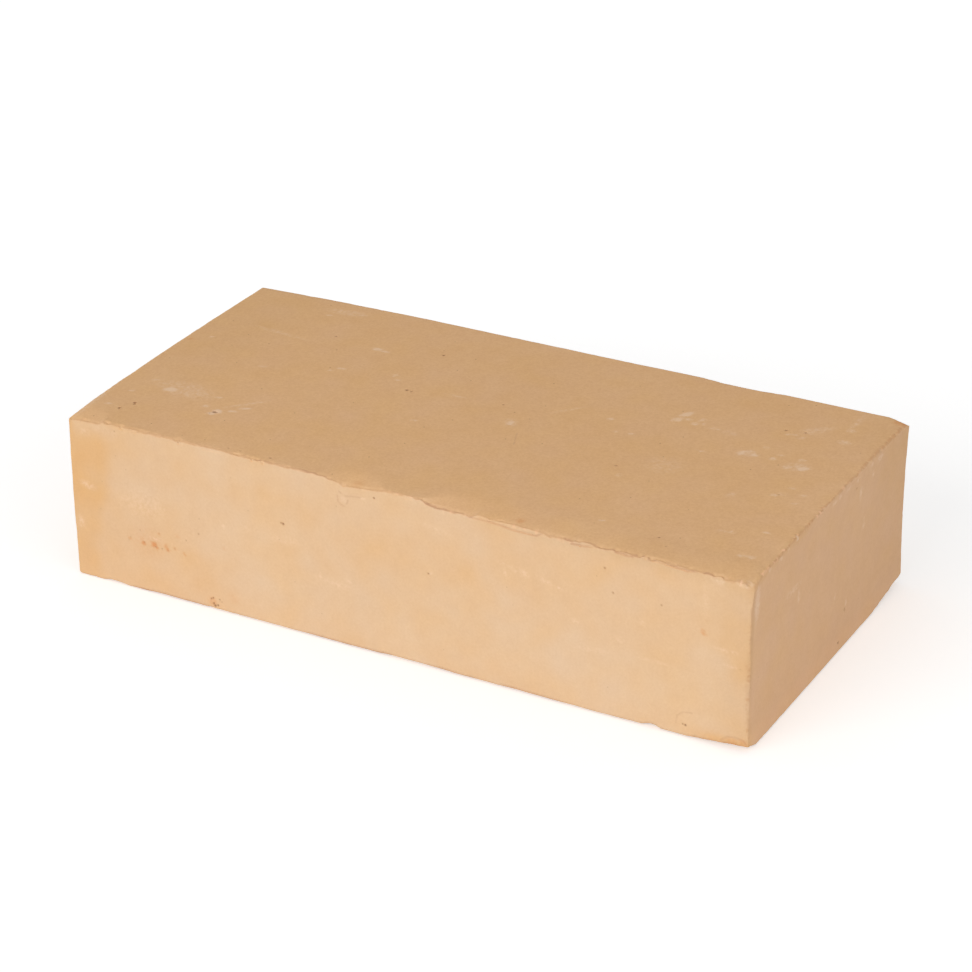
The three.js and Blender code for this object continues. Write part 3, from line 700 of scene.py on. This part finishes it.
def ochre_mask(points):
    """The yellower band at the left end of the front face, a trace of it at its right end
    and at the left end of the top, more under the near half of the right upper arris, and a
    little round the corner behind it."""
    x, y, z = points.T
    front = smooth_step(-y, BACK - 3, BACK - 1)
    upper = smooth_step(z, 22, 36)
    reach = LEFT + 10 + 5 * upper
    band = (1 - smooth_step(x, reach - 3, reach + 4)) * (0.6 + 0.4 * upper)
    band *= 1 - 0.8 * smooth_step(z, 50, 58) * smooth_step(x, LEFT + 1, LEFT + 4)
    right_end = 0.35 * smooth_step(x, RIGHT - 12, RIGHT - 3)
    right_foot = smooth_step(x, 102, 114) * (1 - smooth_step(z, 2, 6))
    left_end = 0.3 * smooth_step(z, HEIGHT - 2, HEIGHT - 1) * (1 - smooth_step(x, -112, -85))
    from_arris = edge_distance(points, ("top", "right"), lean=0.6)
    beside_arris = 0.45 * (1 - smooth_step(from_arris, 0.4, 1.8))
    beside_arris *= 1 - smooth_step(y, -25, -5)
    back_corner = 0.3 * smooth_step(x, 106, 122) * smooth_step(y, 28, 44) * smooth_step(z, 30, 50)
    on_front = front * np.maximum.reduce([band, right_end, right_foot])
    return np.maximum.reduce([on_front, left_end, beside_arris, back_corner])


def darker_and_painted_bounce_mask(points, normals):
    """How much darker, or under 0 how much paler, the clay is: darker where the top and the
    front meet at their right end, and paler at the foot of the right end, which is painted light
    bounced up from the floor."""
    x, y, z = points.T
    on_end, on_front, on_top = normals.T ** 2
    top_brink = 1 - smooth_step(y, FRONT + 6, FRONT + 15)
    top_part = on_top * top_brink * (0.7 * smooth_step(x, 38, 62) + 0.3 * smooth_step(x, 75, 95))
    front_brink = smooth_step(z, HEIGHT - 6, HEIGHT - 1) * smooth_step(x, 30, 62)
    front_part = on_front * (y < 0) * np.maximum(front_brink, 0.6 * smooth_step(x, 108, 121))
    end_strip = on_end * (x > 0) * 0.8 * (1 - smooth_step(y, FRONT + 1.2, FRONT + 3.2))
    # painted light bounced up from the floor onto the foot of the right end
    painted_floor_bounce = on_end * (x > 0) * (1 - smooth_step(z, 2, 9))
    return top_part + front_part + end_strip * smooth_step(z, 12, 30) - painted_floor_bounce


def pale_foot_mask(points, normals):
    """The paler lower half of the front face."""
    x, y, z = points.T
    along = smooth_step(x, -75, -45) * (1 - 0.3 * smooth_step(x, 100, 118))
    return normals[:, 1] ** 2 * (y < 0) * along * (1 - smooth_step(z, 12, 40))


def pore_shade_mask(points):
    """Painted shade in the pores: darker the deeper they are, and full from a set depth on."""
    return np.clip(pore_depth(points) / FULL_SHADE_DEPTH, 0, 1)


def crack_mask(points):
    """How much the cracks stand out as thin brown lines."""
    mask = np.zeros(len(points))
    for cracks, darkness in ((CRACKS, CRACK_DARKNESS), (FOLD_CRACKS, FOLD_CRACK_DARKNESS)):
        for crack in cracks:
            line = 1 - smooth_step(near_crack(points, crack) / crack.width, 0.2, 0.9)
            mask = np.maximum(mask, darkness * line)
    return mask


# How dark the thin line along the front upper arris is, at places x along it
FRONT_LINE = [
    (-125, 0.3), (-52, 0.35), (-49, 0.9), (-44, 0.5), (-33, 0.35), (-31, 0.9), (-22, 0.5), (-18, 0.2),
    (-8, 0.3), (10, 0.35), (13, 1), (19, 1), (22, 0.7), (27, 0.5), (30, 0.3), (61, 0.3), (62, 0.9),
    (65, 0.9), (66, 0.3), (72, 0.7), (79, 0.9), (80, 0.3), (86, 0.8), (89, 0.8), (90, 0.4),
    (108, 0.3), (109, 0.9), (112, 0.8), (113, 0.3), (125, 0.5),
]

# How dark the line along the right upper arris is, at places y along it
RIGHT_LINE = [(-62, 0.2), (-59, 0.3), (-45, 0.5), (-5, 0.42), (10, 0.34), (50, 0.44), (62, 0.55)]

# How dark the line along the front lower arris is, at places x along it
LOWER_LINE = [
    (-103, 0), (-99, 0.8), (-76, 0.9), (-70, 0.2), (-36, 0.2), (-31, 0.8), (-4, 0.8), (0, 0.2),
    (14, 0.2), (18, 0.7), (28, 0.7), (32, 0.2), (38, 0.2), (42, 0.7), (58, 0.7), (64, 0.2),
    (102, 0.1), (108, 0.5), (122, 0.5), (125, 0.3),
]


def front_line_mask(points, normals):
    """The thin brown line along the front upper arris."""
    line = 1 - smooth_step(edge_distance(points, ("top", "front")), 0.2, 0.7)
    return line * smooth_step(normals[:, 2], 0.45, 0.8) * np.interp(points[:, 0], *zip(*FRONT_LINE))


def lower_line_mask(points):
    """The thin brown line along stretches of the front lower arris."""
    line = 1 - smooth_step(edge_distance(points, ("bottom", "front")), 0.1, 0.7)
    return line * (points[:, 2] < 3) * np.interp(points[:, 0], *zip(*LOWER_LINE))


def right_line_mask(points):
    """The redder line along the right upper arris, broken into dots in its near half."""
    lean = 0.6 + 1.4 * smooth_step(points[:, 1], -24, -14)
    away = edge_distance(points, ("top", "right"), lean)
    whole = 1 - smooth_step(away, 0.02, 0.36)
    dots = smooth_step(soft_noise(points, wave=0.7, seed=14), 0.0, 0.5)
    dotted = (0.5 + 0.9 * dots) * (1 - smooth_step(away, 0.05, 0.4))
    line = dotted + (whole - dotted) * smooth_step(points[:, 1], -8, 8)
    return np.clip(line * np.interp(points[:, 1], *zip(*RIGHT_LINE)), 0, 1)


def corner_dots_mask(points):
    """Small reddish dots down the upright arris between the front and the right end."""
    near = 1 - smooth_step(edge_distance(points, ("front", "right")), 0.05, 0.5)
    near *= smooth_step(points[:, 2], 0, 3) * (1 - smooth_step(points[:, 2], 30, 55))
    dots = smooth_step(soft_noise(points, wave=0.9, seed=18), 0.1, 0.6)
    return CORNER_DOTS_DARKNESS * near * dots


# How thickly pale crumbs of clay stick to the front upper arris, at places x along it, with painted
# highlight on its lit rim and near its right end, and to the right upper arris, at places y along it
FRONT_CRUMBS_AND_HIGHLIGHT = [(-2, 0), (4, 0.35), (64, 0.35), (68, 0), (112, 0), (117, 0.6), (125, 0.6)]
RIGHT_CRUMBS = [(-62, 0.8), (-50, 0.4), (-35, 1), (0, 0.9), (12, 0.2), (62, 0)]


def crumb_and_highlight_mask(points):
    """Pale crumbs of clay along the front upper and the right upper arris, and painted highlight on
    the lit rim of the front upper arris.
    """
    mask = np.zeros(len(points))
    for other_face, along, crumbs in (("front", X, FRONT_CRUMBS_AND_HIGHLIGHT), ("right", Y, RIGHT_CRUMBS)):
        near = 1 - smooth_step(edge_distance(points, ("top", other_face)), 0.2, 0.8)
        mask = np.maximum(mask, near * np.interp(points @ along, *zip(*crumbs)))
    return CRUMB_AND_HIGHLIGHT_STRENGTH * mask * smooth_step(soft_noise(points, wave=1.3, seed=15), 0.2, 0.6)


def put_in_scene(name, data):
    """A new object in the scene."""
    thing = bpy.data.objects.new(name, data)
    bpy.context.scene.collection.objects.link(thing)
    return thing


def make_brick():
    """The brick's mesh with its marks as named values on its points."""
    points, faces = textured_surface()
    mesh = bpy.data.meshes.new("brick_surface")
    mesh.from_pydata((points * MM).tolist(), [], faces)
    mesh.update()
    mesh.polygons.foreach_set("use_smooth", np.ones(len(mesh.polygons), bool))
    normals = np.array([vertex.normal for vertex in mesh.vertices])
    marks = {
        "scuff_and_highlight": smear_and_highlight_mask(points, SCUFFS_AND_HIGHLIGHTS),
        # pale crumbs, and painted highlight along the front upper arris
        "crumb_and_highlight": crumb_and_highlight_mask(points),
        "rust": speck_mask(points, RUST),
        "ochre": ochre_mask(points),
        # painted shade in the pores
        "pore_shade": pore_shade_mask(points),
        "right_line": np.maximum(right_line_mask(points), corner_dots_mask(points)),
        "crack": np.maximum.reduce([
            crack_mask(points), front_line_mask(points, normals), lower_line_mask(points),
        ]),
        "bed_face": normals[:, 2] ** 2,
        "end_face": normals[:, 0] ** 2,
        # values under 0 are painted light bounced up from the floor
        "darker": darker_and_painted_bounce_mask(points, normals),
        "pale_foot": pale_foot_mask(points, normals),
    }
    for name, values in marks.items():
        attribute = mesh.attributes.new(name, "FLOAT", "POINT")
        attribute.data.foreach_set("value", values.astype(np.float32))
    return put_in_scene("fired_brick", mesh)


# ---- Finish -------------------------------------------------------------------------------

LONG_FACE_CLAY = (0.757, 0.503, 0.294, 1)
BED_FACE_CLAY = (0.812, 0.487, 0.243, 1)
END_FACE_CLAY = (0.800, 0.498, 0.285, 1)
PALE_FOOT_CLAY = (0.757, 0.520, 0.318, 1)
OCHRE_CLAY = (0.754, 0.454, 0.216, 1)
LONG_FACE_DRIFT = (0.0, 0.13, 0.40, 1)  # how far the red, green and blue drift together
OTHER_FACE_DRIFT = (0.0, 0.03, 0.22, 1)
SLOW_TONE = 0.08  # how much the clay's tone varies in slow drifts,
MOTTLE_TONE = 0.11  # in its mottle
GRAIN_TONE = 0.18  # and in its grain,
BED_GRAIN_MORE = 0.17  # which shows more on the bed faces
DARKENING_AND_PAINTED_BOUNCE = -0.058  # change of tone where the clay is darker, and the other way for the painted floor bounce light
TONE_PULL = (0.66, 1.03, 1.25)  # a darker grain is also a redder one
# colour of the pale smears, also used for the painted highlight near the right front corner
PALE_SCUFF_AND_HIGHLIGHT = (0.950, 0.700, 0.500, 1)
# colour of the pale crumbs, also used as painted highlight on the front upper arris
CRUMB_AND_HIGHLIGHT_CLAY = (0.960, 0.580, 0.340, 1)
RUST_RED = (0.660, 0.200, 0.030, 1)
# colour of the painted shade in the pores and pinholes
PORE_PAINTED_SHADE = (0.220, 0.070, 0.020, 1)
RIGHT_LINE_BROWN = (0.540, 0.210, 0.078, 1)
CRACK_BROWN = (0.500, 0.250, 0.145, 1)

# Marks laid over the clay, lowest first: the length of the waves that break their edges up,
# how ragged those are, and how much of the clay they hide where they are strongest
MarkLayer = namedtuple("MarkLayer", "mark wave raggedness cover color")
MARK_LAYERS = [
    MarkLayer("right_line", 0.9, 0.5, 0.7, RIGHT_LINE_BROWN),
    MarkLayer("crack", 2.0, 0.6, 0.7, CRACK_BROWN),
    MarkLayer("crumb_and_highlight", 1.1, 1.0, 0.9, CRUMB_AND_HIGHLIGHT_CLAY),
    MarkLayer("scuff_and_highlight", 1.1, 2.0, 0.6, PALE_SCUFF_AND_HIGHLIGHT),
    MarkLayer("rust", 0.8, 1.0, 0.6, RUST_RED),
]
# painted shade in the pores
PORE_SHADE_LAYER = MarkLayer("pore_shade", 0.5, 0.3, 0.7, PORE_PAINTED_SHADE)

# The pinholes are darkened with painted shade
PINHOLE_GAP = 6.5  # typical distance between two pinholes
PINHOLE_CORE = 0.18  # radius of a pinhole's darkest part,
PINHOLE_RIM = 0.30  # and of its rim
PINHOLE_SHARE = 0.35  # how strongly pinholes show on the long and end faces,
BED_PINHOLE_MORE = 0.65  # and how much more strongly on the bed faces
PINHOLE_DARKNESS = 0.5
GRAIN_RELIEF = 0.05 * MM
CLAY_ROUGHNESS = 0.85  # where the clay is smoothest,
ROUGHNESS_DRIFT = 0.1  # and how much rougher it gets in slow drifts

# Painted shade: on the bed and end faces the clay loses this share of its tone in each millimetre
# backwards, as the light falls off towards the back, and has its own tone at this y
BACKWARD_PAINTED_SHADE = 0.0006
PAINTED_SHADE_NEUTRAL_PLACE = -7.0


class NodeBuilder:
    """Adds nodes to one tree and joins them by what feeds each socket."""

    def __init__(self, tree):
        self.tree = tree

    def feed(self, socket, value):
        """Sets a socket to a value, or joins it to the socket that feeds it."""
        if isinstance(value, bpy.types.NodeSocket):
            self.tree.links.new(value, socket)
        else:
            socket.default_value = value

    def add(self, kind, inputs=None, **settings):
        """A node with its settings; each input is a value or the socket that feeds it."""
        node = self.tree.nodes.new(kind)
        for name, value in settings.items():
            setattr(node, name, value)
        for name, value in (inputs or {}).items():
            self.feed(node.inputs[name], value)
        return node

    def math(self, operation, first, second=0.0, clamp=False):
        """The result of one operation on two values."""
        inputs = {0: first, 1: second}
        return self.add("ShaderNodeMath", inputs, operation=operation, use_clamp=clamp).outputs[0]

    def scaled(self, value, factor, offset):
        """The value times the factor, plus the offset."""
        inputs = {0: value, 1: factor, 2: offset}
        return self.add("ShaderNodeMath", inputs, operation="MULTIPLY_ADD").outputs[0]

    def mix(self, amount, first, second):
        """The first color, with the second over it by an amount."""
        node = self.add("ShaderNodeMix", data_type="RGBA")
        for name, value in (("Factor_Float", amount), ("A_Color", first), ("B_Color", second)):
            self.feed(next(s for s in node.inputs if s.identifier == name), value)
        return next(s for s in node.outputs if s.identifier == "Result_Color")

    def attribute(self, name):
        """One of the named values on the points of the brick."""
        return self.add("ShaderNodeAttribute", attribute_name=name).outputs["Fac"]

    def noise(self, vector, wave, detail, roughness):
        """Noise from 0 to 1 with bumps about one wave long."""
        inputs = {"Vector": vector, "Scale": 1 / wave, "Detail": detail, "Roughness": roughness}
        return self.add("ShaderNodeTexNoise", inputs).outputs["Fac"]


def empty_nodes(owner):
    """A builder for the nodes of a material or a world, which start empty."""
    owner.use_nodes = True
    owner.node_tree.nodes.clear()
    return NodeBuilder(owner.node_tree)


def ragged_mask_group():
    """A node group that breaks the edge of a soft mask up with noise."""
    tree = bpy.data.node_groups.new("ragged_mask", "ShaderNodeTree")
    for name, kind in (("Mask", "NodeSocketFloat"), ("Place", "NodeSocketVector"),
                       ("Wave", "NodeSocketFloat"), ("Raggedness", "NodeSocketFloat")):
        tree.interface.new_socket(name, in_out="INPUT", socket_type=kind)
    tree.interface.new_socket("Mask", in_out="OUTPUT", socket_type="NodeSocketFloat")
    build = NodeBuilder(tree)
    given = build.add("NodeGroupInput").outputs
    scale = build.math("DIVIDE", 1.0, given["Wave"])
    noise = build.add("ShaderNodeTexNoise", {
        "Vector": given["Place"], "Scale": scale, "Detail": 3.0, "Roughness": 0.6,
    }).outputs["Fac"]
    centred = build.math("SUBTRACT", noise, 0.5)
    push = build.math("MULTIPLY", centred, given["Raggedness"])
    gate = build.math("MULTIPLY", given["Mask"], 4.0, clamp=True)
    broken = build.math("ADD", given["Mask"], build.math("MULTIPLY", push, gate), clamp=True)
    build.add("NodeGroupOutput", {"Mask": broken})
    return tree


def fired_clay():
    """Fine matt buff clay: slow tone drift, fine grain, and the marks of use over it, with painted
    shade in the pores, the pinholes and towards the back, and painted highlight and floor bounce
    light in places.
    """
    material = bpy.data.materials.new("fired_clay")
    build = empty_nodes(material)
    ragged = ragged_mask_group()
    place_mm = build.add("ShaderNodeVectorMath", {
        0: build.add("ShaderNodeTexCoord").outputs["Object"], 1: (1 / MM,) * 3,
    }, operation="MULTIPLY").outputs[0]

    def mask(name, wave, raggedness):
        """One of the soft masks on the points, with its edge broken up."""
        return build.add("ShaderNodeGroup", {
            "Mask": build.attribute(name), "Place": place_mm,
            "Wave": wave, "Raggedness": raggedness,
        }, node_tree=ragged).outputs["Mask"]

    def covered(color, layer):
        """The color with one layer of marks over it."""
        shown = build.math("MULTIPLY", mask(layer.mark, layer.wave, layer.raggedness), layer.cover)
        return build.mix(shown, color, layer.color)

    def varied(value, amount):
        """A factor round 1 that follows a noise."""
        return build.scaled(build.math("SUBTRACT", value, 0.5), amount, 1.0)

    color = build.mix(build.attribute("bed_face"), LONG_FACE_CLAY, BED_FACE_CLAY)
    color = build.mix(build.attribute("end_face"), color, END_FACE_CLAY)
    color = build.mix(build.attribute("pale_foot"), color, PALE_FOOT_CLAY)
    color = build.mix(mask("ochre", wave=9.0, raggedness=0.5), color, OCHRE_CLAY)

    slow = build.noise(place_mm, wave=38.0, detail=3.0, roughness=0.55)
    mottle = build.noise(place_mm, wave=4.5, detail=4.0, roughness=0.6)
    grain = build.noise(place_mm, wave=0.9, detail=4.0, roughness=0.7)
    grain_tone = build.scaled(build.attribute("bed_face"), BED_GRAIN_MORE, GRAIN_TONE)
    tone = build.math("MULTIPLY", varied(slow, SLOW_TONE), varied(mottle, MOTTLE_TONE))
    tone = build.math("MULTIPLY", tone, varied(grain, grain_tone))
    pulled_tone = build.add("ShaderNodeVectorMath", {
        0: build.math("SUBTRACT", tone, 1.0), 1: TONE_PULL, 2: (1, 1, 1),
    }, operation="MULTIPLY_ADD").outputs[0]
    across = build.add("ShaderNodeSeparateXYZ", {0: place_mm}).outputs["Y"]
    bed_or_end = build.math(
        "ADD", build.attribute("bed_face"), build.attribute("end_face"), clamp=True)
    # painted shade: the bed and end faces darken towards the back as the light falls off
    painted_falloff = build.math("MULTIPLY", build.math("SUBTRACT", PAINTED_SHADE_NEUTRAL_PLACE, across), BACKWARD_PAINTED_SHADE)
    painted_falloff = build.math("ADD", 1.0, build.math("MULTIPLY", painted_falloff, bed_or_end))
    patches = build.noise(place_mm, wave=14.0, detail=1.0, roughness=0.6)
    drift = build.add("ShaderNodeVectorMath", {
        0: build.math("SUBTRACT", patches, 0.5),
        1: build.mix(bed_or_end, LONG_FACE_DRIFT, OTHER_FACE_DRIFT), 2: (1, 1, 1),
    }, operation="MULTIPLY_ADD").outputs[0]
    # values under 0 paint the light bounced up from the floor
    darker = build.scaled(build.attribute("darker"), DARKENING_AND_PAINTED_BOUNCE, 1.0)
    for factor in (pulled_tone, drift, painted_falloff, darker):
        toned = build.add("ShaderNodeVectorMath", {0: color, 1: factor}, operation="MULTIPLY")
        color = toned.outputs[0]

    for layer in MARK_LAYERS:
        color = covered(color, layer)
    holes = build.add("ShaderNodeTexVoronoi", {"Vector": place_mm, "Scale": 1 / PINHOLE_GAP})
    away = build.math("MULTIPLY", holes.outputs["Distance"], PINHOLE_GAP)
    pinhole = build.add("ShaderNodeMapRange", {
        "Value": away, "From Min": PINHOLE_CORE, "From Max": PINHOLE_RIM,
        "To Min": 1.0, "To Max": 0.0,
    }).outputs["Result"]
    share = build.scaled(build.attribute("bed_face"), BED_PINHOLE_MORE, PINHOLE_SHARE)
    pinhole = build.math("MULTIPLY", pinhole, share)
    # painted shade in the pinholes
    color = build.mix(build.math("MULTIPLY", pinhole, PINHOLE_DARKNESS), color, PORE_PAINTED_SHADE)
    color = covered(color, PORE_SHADE_LAYER)

    fine_grain = build.noise(place_mm, wave=0.35, detail=3.0, roughness=0.6)
    relief = build.math("ADD", grain, fine_grain)
    relief = build.math("SUBTRACT", relief, pinhole)
    bump = build.add("ShaderNodeBump", {
        "Height": relief, "Strength": 0.35, "Distance": GRAIN_RELIEF,
    })
    rough = build.scaled(slow, ROUGHNESS_DRIFT, CLAY_ROUGHNESS)
    shader = build.add("ShaderNodeBsdfPrincipled", {
        "Base Color": color, "Roughness": rough, "Normal": bump.outputs["Normal"],
        "Specular IOR Level": 0.25,
    })
    build.add("ShaderNodeOutputMaterial", {"Surface": shader.outputs["BSDF"]})
    return material


# ---- Studio -------------------------------------------------------------------------------

FLOOR_REACH = 6.0  # metres, from the middle of the brick
FLOOR_DROP = 0.0002  # metres, to keep the floor clear of the bed face
FLOOR_WHITE = (0.86, 0.86, 0.86, 1)
FLOOR_LIFT = 0.42  # keeps the lit floor white in view, and leaves the shadow on it


def seen_directly(build):
    """1 where the camera, a reflection or a view through glass sees the surface."""
    path = build.add("ShaderNodeLightPath").outputs
    seen = build.math("ADD", path["Is Camera Ray"], path["Is Glossy Ray"], clamp=True)
    return build.math("ADD", seen, path["Is Transmission Ray"], clamp=True)


def studio_floor():
    """A plain pale floor just under the brick."""
    material = bpy.data.materials.new("studio_floor")
    build = empty_nodes(material)
    lift = build.math("MULTIPLY", seen_directly(build), FLOOR_LIFT)
    shader = build.add("ShaderNodeBsdfPrincipled", {
        "Base Color": FLOOR_WHITE, "Roughness": 0.9, "Specular IOR Level": 0.1,
        "Emission Color": (1, 1, 1, 1), "Emission Strength": lift,
    })
    build.add("ShaderNodeOutputMaterial", {"Surface": shader.outputs["BSDF"]})
    mesh = bpy.data.meshes.new("studio_floor")
    corners = [(x * FLOOR_REACH, y * FLOOR_REACH, -FLOOR_DROP)
               for x, y in ((-1, -1), (1, -1), (1, 1), (-1, 1))]
    mesh.from_pydata(corners, [], [(0, 1, 2, 3)])
    mesh.materials.append(material)
    floor = put_in_scene("studio_floor", mesh)


SKY_LEVEL = 0.52  # strength of the soft light from all round


def studio_sky():
    """An even soft light from all round, white where it is seen."""
    world = bpy.data.worlds.new("studio_sky")
    bpy.context.scene.world = world
    build = empty_nodes(world)
    level = build.scaled(seen_directly(build), 1 - SKY_LEVEL, SKY_LEVEL)
    sky = build.add("ShaderNodeBackground", {"Color": (1, 1, 1, 1), "Strength": level})
    build.add("ShaderNodeOutputWorld", {"Surface": sky.outputs["Background"]})


def soft_lamp(name, toward, level, spread_degrees):
    """A wide distant lamp that shines from a direction; level is what a facing white
    surface sends back."""
    lamp = bpy.data.lights.new(name, "SUN")
    lamp.energy = level * np.pi
    lamp.angle = np.radians(spread_degrees)
    holder = put_in_scene(name, lamp)
    holder.rotation_euler = Vector(toward).to_track_quat("Z", "Y").to_euler()


# The camera's place: turned from the front long face, raised, and rolled a little, in degrees
CAMERA_AZIMUTH = 29.246
CAMERA_ELEVATION = 26.734
CAMERA_ROLL = -0.687
CAMERA_DISTANCE = 997.7
CAMERA_LENS = 110.569
SENSOR_WIDTH = 36
CAMERA_ABOVE = 4.005  # it aims this far above the middle of the brick


def studio_camera():
    """A long lens aimed at the brick."""
    azimuth, elevation, roll = np.radians([CAMERA_AZIMUTH, CAMERA_ELEVATION, CAMERA_ROLL])
    level = np.cos(elevation)
    back = np.array([np.sin(azimuth) * level, -np.cos(azimuth) * level, np.sin(elevation)])
    level_right = np.cross(Z, back) / level
    level_up = np.cross(back, level_right)
    right = np.cos(roll) * level_right + np.sin(roll) * level_up
    up = -np.sin(roll) * level_right + np.cos(roll) * level_up
    aim = Z * HEIGHT / 2 + up * CAMERA_ABOVE
    turn = Matrix(np.column_stack([right, up, back]).tolist()).to_4x4()
    lens = bpy.data.cameras.new("studio_camera")
    lens.sensor_width = SENSOR_WIDTH
    lens.lens = CAMERA_LENS
    lens.clip_start = 0.05
    lens.clip_end = 50
    camera = put_in_scene("studio_camera", lens)
    camera.matrix_world = Matrix.Translation((aim + back * CAMERA_DISTANCE) * MM) @ turn
    bpy.context.scene.camera = camera


bpy.context.scene.view_settings.view_transform = "Standard"
studio_camera()
studio_floor()
studio_sky()
soft_lamp("key_lamp", toward=(-0.35, -1.0, 0.32), level=0.51, spread_degrees=50)
soft_lamp("side_lamp", toward=(1.0, -0.35, 0.25), level=0.20, spread_degrees=60)

brick = make_brick()
brick.data.materials.append(fired_clay())
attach(brick, "root")
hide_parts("brick")
